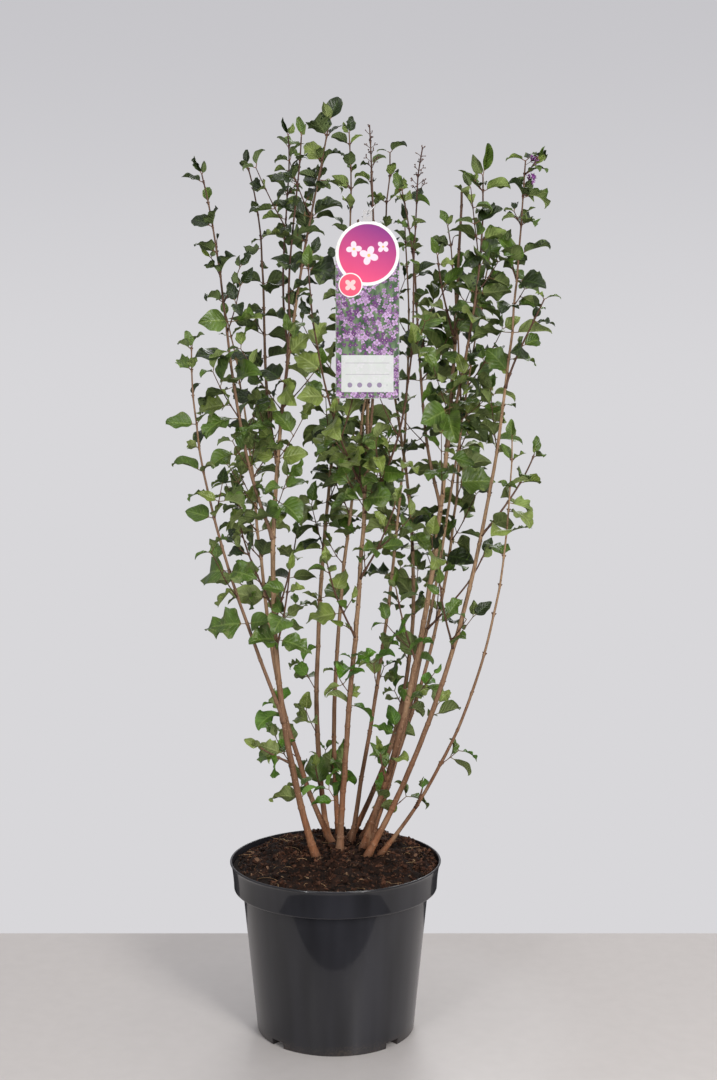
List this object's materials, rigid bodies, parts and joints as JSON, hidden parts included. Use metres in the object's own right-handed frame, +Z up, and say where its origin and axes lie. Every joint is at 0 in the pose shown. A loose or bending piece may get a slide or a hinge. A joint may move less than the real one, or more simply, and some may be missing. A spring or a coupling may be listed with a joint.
{
  "type": "potted lilac bush",
  "caption": "Dwarf lilac shrub: upright woody canes, forked boughs and open wands of paired leaves, in a round plastic nursery pot of soil, with a hang tag.",
  "frame": {"origin": "centre of the pot's flat underside", "axes": "+Z up along the canes, +X to the right and +Y to the back of the side that carries the tag"},
  "size_m": [0.5543, 0.4618, 1.3949],
  "materials": {
    "pot_plastic": "satin moulded plastic",
    "soil": "crumbly bark and peat",
    "tag_card": "printed plastic card",
    "tag_tie": "soft plastic strap",
    "cane_bark": "thin tan bark",
    "bough_bark": "young grey brown bark",
    "foliage": "satin leaf"
  },
  "bodies": {
    "root": {"bough_left_inner": "bough_bark", "bough_left_low": "bough_bark", "bough_left_tall": "bough_bark", "bough_middle": "bough_bark", "bough_right": "bough_bark", "bough_tagged": "bough_bark", "cane_01": "cane_bark", "cane_02": "cane_bark", "cane_03": "cane_bark", "cane_04": "cane_bark", "cane_05": "cane_bark", "cane_06": "cane_bark", "cane_07": "cane_bark", "cane_08": "cane_bark", "cane_09": "cane_bark", "cane_10": "cane_bark", "cane_11": "cane_bark", "cane_12": "cane_bark", "leaves_bough_left_inner": "foliage", "leaves_bough_left_low": "foliage", "leaves_bough_left_tall": "foliage", "leaves_bough_middle": "foliage", "leaves_bough_right": "foliage", "leaves_bough_tagged": "foliage", "leaves_cane_01": "foliage", "leaves_cane_02": "foliage", "leaves_cane_03": "foliage", "leaves_cane_04": "foliage", "leaves_cane_06": "foliage", "leaves_cane_07": "foliage", "leaves_cane_08": "foliage", "leaves_cane_10": "foliage", "leaves_cane_11": "foliage", "leaves_cane_12": "foliage", "leaves_spray_back_left": "foliage", "leaves_spray_centre_high": "foliage", "leaves_spray_centre_left": "foliage", "leaves_spray_centre_right": "foliage", "leaves_spray_fork_back": "foliage", "leaves_spray_fork_front": "foliage", "leaves_spray_front_left": "foliage", "leaves_spray_front_right": "foliage", "leaves_spray_inner": "foliage", "leaves_spray_inner_high": "foliage", "leaves_spray_left_back": "foliage", "leaves_spray_left_front": "foliage", "leaves_spray_left_high": "foliage", "leaves_spray_low_front": "foliage", "leaves_spray_low_left": "foliage", "leaves_spray_low_middle": "foliage", "leaves_spray_low_right": "foliage", "leaves_spray_right_back": "foliage", "leaves_spray_right_low": "foliage", "leaves_spray_right_middle": "foliage", "leaves_spray_right_tip": "foliage", "pot": "pot_plastic", "soil": "soil", "tag": "tag_card", "tag_tie": "tag_tie"}
  },
  "joints": []
}
